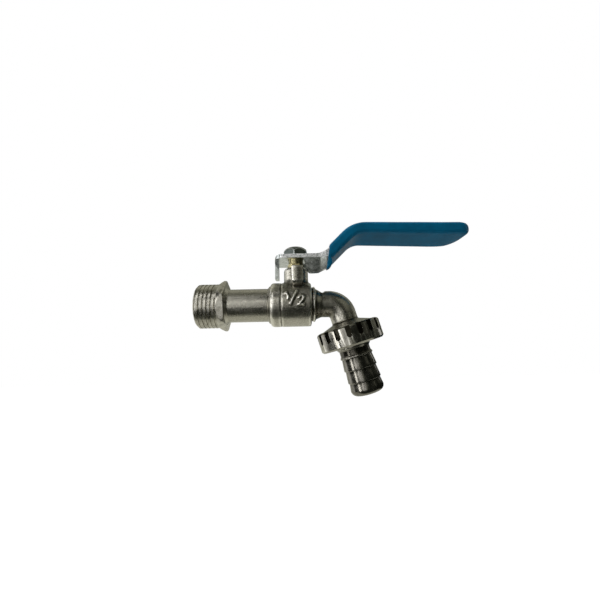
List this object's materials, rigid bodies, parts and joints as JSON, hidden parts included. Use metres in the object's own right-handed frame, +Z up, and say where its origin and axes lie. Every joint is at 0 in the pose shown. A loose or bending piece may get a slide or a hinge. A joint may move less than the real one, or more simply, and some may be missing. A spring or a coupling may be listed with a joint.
{
  "type": "ball valve tap",
  "caption": "Half-inch quarter-turn ball tap with a cranked blue lever, a bent spout and a union nut holding a barbed hose nozzle.",
  "frame": {"origin": "on the inlet axis, where the inlet thread meets the hexagon's face", "axes": "+X along the inlet, the way the water flows and the open lever points; +Z up along the stem; +Y completes the frame"},
  "size_m": [0.1317, 0.03, 0.0806],
  "materials": {
    "nickel_cast": "nickel-plated sand-cast brass",
    "nickel_turned": "nickel-plated brass, forged and turned",
    "ball_chrome": "polished chrome-plated brass",
    "ptfe": "white PTFE",
    "brass": "turned brass",
    "zinc_steel": "bright zinc-plated pressed steel",
    "dark_steel": "dark plated steel",
    "blue_vinyl": "glossy blue vinyl",
    "rubber": "black rubber"
  },
  "bodies": {
    "tap": {"valve_body": "nickel_cast", "inlet_tail": "nickel_turned", "inlet_seat": "ptfe", "outlet_seat": "ptfe", "thrust_washer": "ptfe", "packing_lower": "ptfe", "packing_upper": "ptfe", "gland_nut": "brass"},
    "handle": {"lever": "zinc_steel", "lever_grip": "blue_vinyl", "lever_washer": "zinc_steel", "lever_nut": "dark_steel", "stem": "brass", "ball": "ball_chrome"},
    "nozzle": {"hose_nozzle": "nickel_turned", "nozzle_washer": "rubber"},
    "nut": {"union_nut": "nickel_turned"}
  },
  "joints": [
    {"name": "lever_turn", "type": "hinge", "parent": "tap", "child": "handle", "pos_m": [0.0362, 0, 0], "axis": [0, 0, 1], "range_deg": [0, 90]},
    {"name": "nozzle_drop", "type": "slide", "parent": "tap", "child": "nozzle", "axis": [0.274, 0, -0.9617], "range_m": [0, 0.00399]},
    {"name": "nut_turn", "type": "hinge", "parent": "nozzle", "child": "nut", "pos_m": [0.05978, 0, -0.01071], "axis": [0.274, 0, -0.9617], "range_deg": [0, 792]}
  ],
  "couplings": [
    {"joint": "nut_turn", "follows": "nozzle_drop", "rad_per_m": 3463.7}
  ]
}
